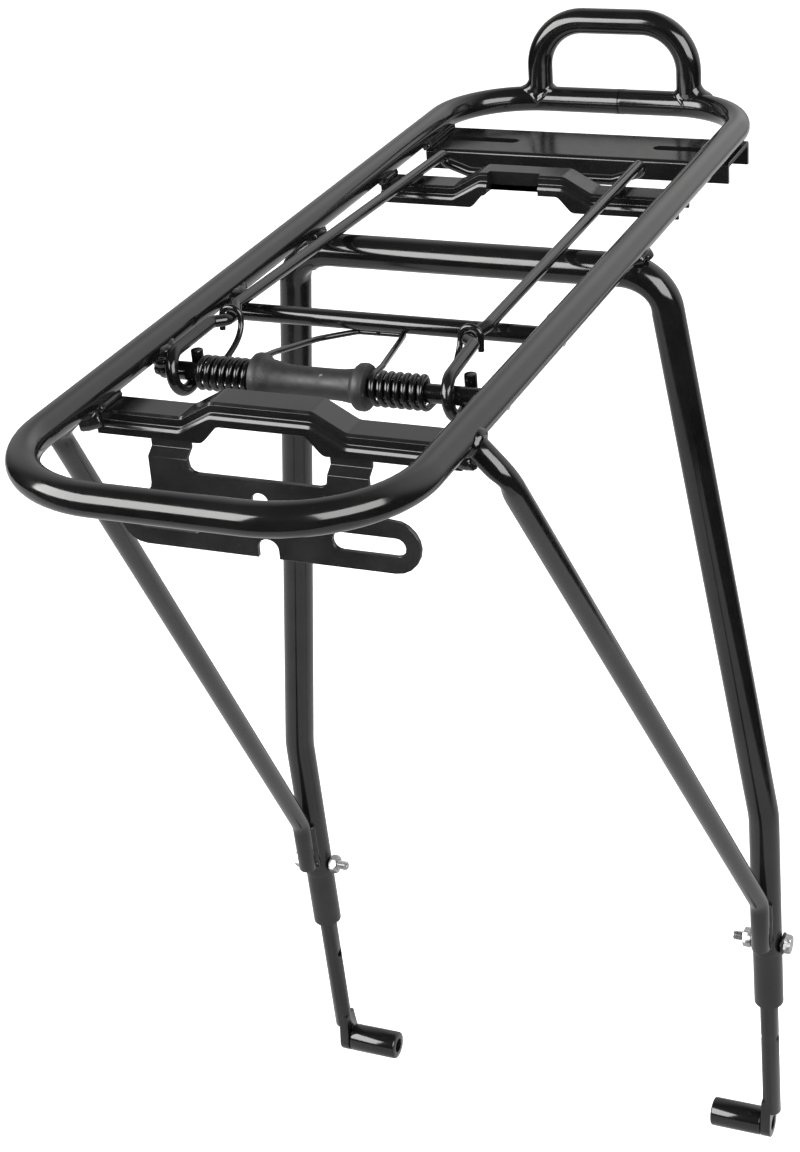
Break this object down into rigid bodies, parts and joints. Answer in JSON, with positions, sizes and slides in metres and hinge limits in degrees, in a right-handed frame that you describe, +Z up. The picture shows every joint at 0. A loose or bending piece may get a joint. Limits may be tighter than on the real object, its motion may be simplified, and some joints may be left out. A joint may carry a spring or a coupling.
{
  "type": "rear rack",
  "caption": "Tubular steel bicycle rear rack with a sprung bag clamp, slotted lamp plate, front hoop and two adjustable legs.",
  "frame": {"origin": "middle of the line through the two foot holes, at the bicycle's rear axle", "axes": "+X to the bicycle's right, +Y towards its front, +Z up"},
  "size_m": [0.2192, 0.4004, 0.4485],
  "materials": {
    "deck_loop": "semi-gloss black powder coat",
    "front_hoop": "semi-gloss black powder coat",
    "leg_tube": "semi-gloss black powder coat",
    "rear_cross_member": "semi-gloss black powder coat",
    "front_cross_member": "semi-gloss black powder coat",
    "front_channel": "semi-gloss black powder coat",
    "lamp_plate": "fine matte black powder coat",
    "spring_axle": "semi-gloss black powder coat",
    "spring_stop_bar": "semi-gloss black powder coat",
    "spring_sleeve": "matte black rubber",
    "clamp_bail": "semi-gloss black powder coat",
    "torsion_spring": "semi-gloss black powder coat",
    "stay_left": "semi-gloss black powder coat",
    "stay_right": "semi-gloss black powder coat",
    "leg_extension_left": "semi-gloss black powder coat",
    "leg_extension_right": "semi-gloss black powder coat",
    "foot_bush_left": "semi-gloss black powder coat",
    "foot_bush_right": "semi-gloss black powder coat",
    "leg_bolt_left": "bright zinc plate",
    "leg_bolt_right": "bright zinc plate",
    "leg_washer_left": "blackened steel",
    "leg_washer_right": "blackened steel",
    "leg_nut_left": "bright zinc plate",
    "leg_nut_right": "bright zinc plate"
  },
  "bodies": {
    "root": {"deck_loop": "deck_loop", "front_hoop": "front_hoop", "leg_tube": "leg_tube", "rear_cross_member": "rear_cross_member", "front_cross_member": "front_cross_member", "front_channel": "front_channel", "lamp_plate": "lamp_plate", "spring_axle": "spring_axle", "spring_stop_bar": "spring_stop_bar", "spring_sleeve": "spring_sleeve", "torsion_spring": "torsion_spring", "stay_left": "stay_left", "stay_right": "stay_right", "leg_bolt_left": "leg_bolt_left", "leg_bolt_right": "leg_bolt_right", "leg_washer_left": "leg_washer_left", "leg_washer_right": "leg_washer_right", "leg_nut_left": "leg_nut_left", "leg_nut_right": "leg_nut_right"},
    "clamp": {"clamp_bail": "clamp_bail"},
    "leg_slider_left": {"leg_extension_left": "leg_extension_left", "foot_bush_left": "foot_bush_left"},
    "leg_slider_right": {"leg_extension_right": "leg_extension_right", "foot_bush_right": "foot_bush_right"}
  },
  "joints": [
    {"name": "clamp_hinge", "type": "hinge", "parent": "root", "child": "clamp", "pos_m": [0, -0.1591, 0.3967], "axis": [1, 0, 0], "range_deg": [0, 100], "stiffness_Nm_per_rad": 1.2, "springref_deg": -68.75, "deforming": ["torsion_spring"]},
    {"name": "leg_slide_left", "type": "slide", "parent": "root", "child": "leg_slider_left", "axis": [0, 0.0921, -0.9957], "range_m": [-0.015, 0.03]},
    {"name": "leg_slide_right", "type": "slide", "parent": "root", "child": "leg_slider_right", "axis": [0, 0.0921, -0.9957], "range_m": [-0.015, 0.03]}
  ]
}
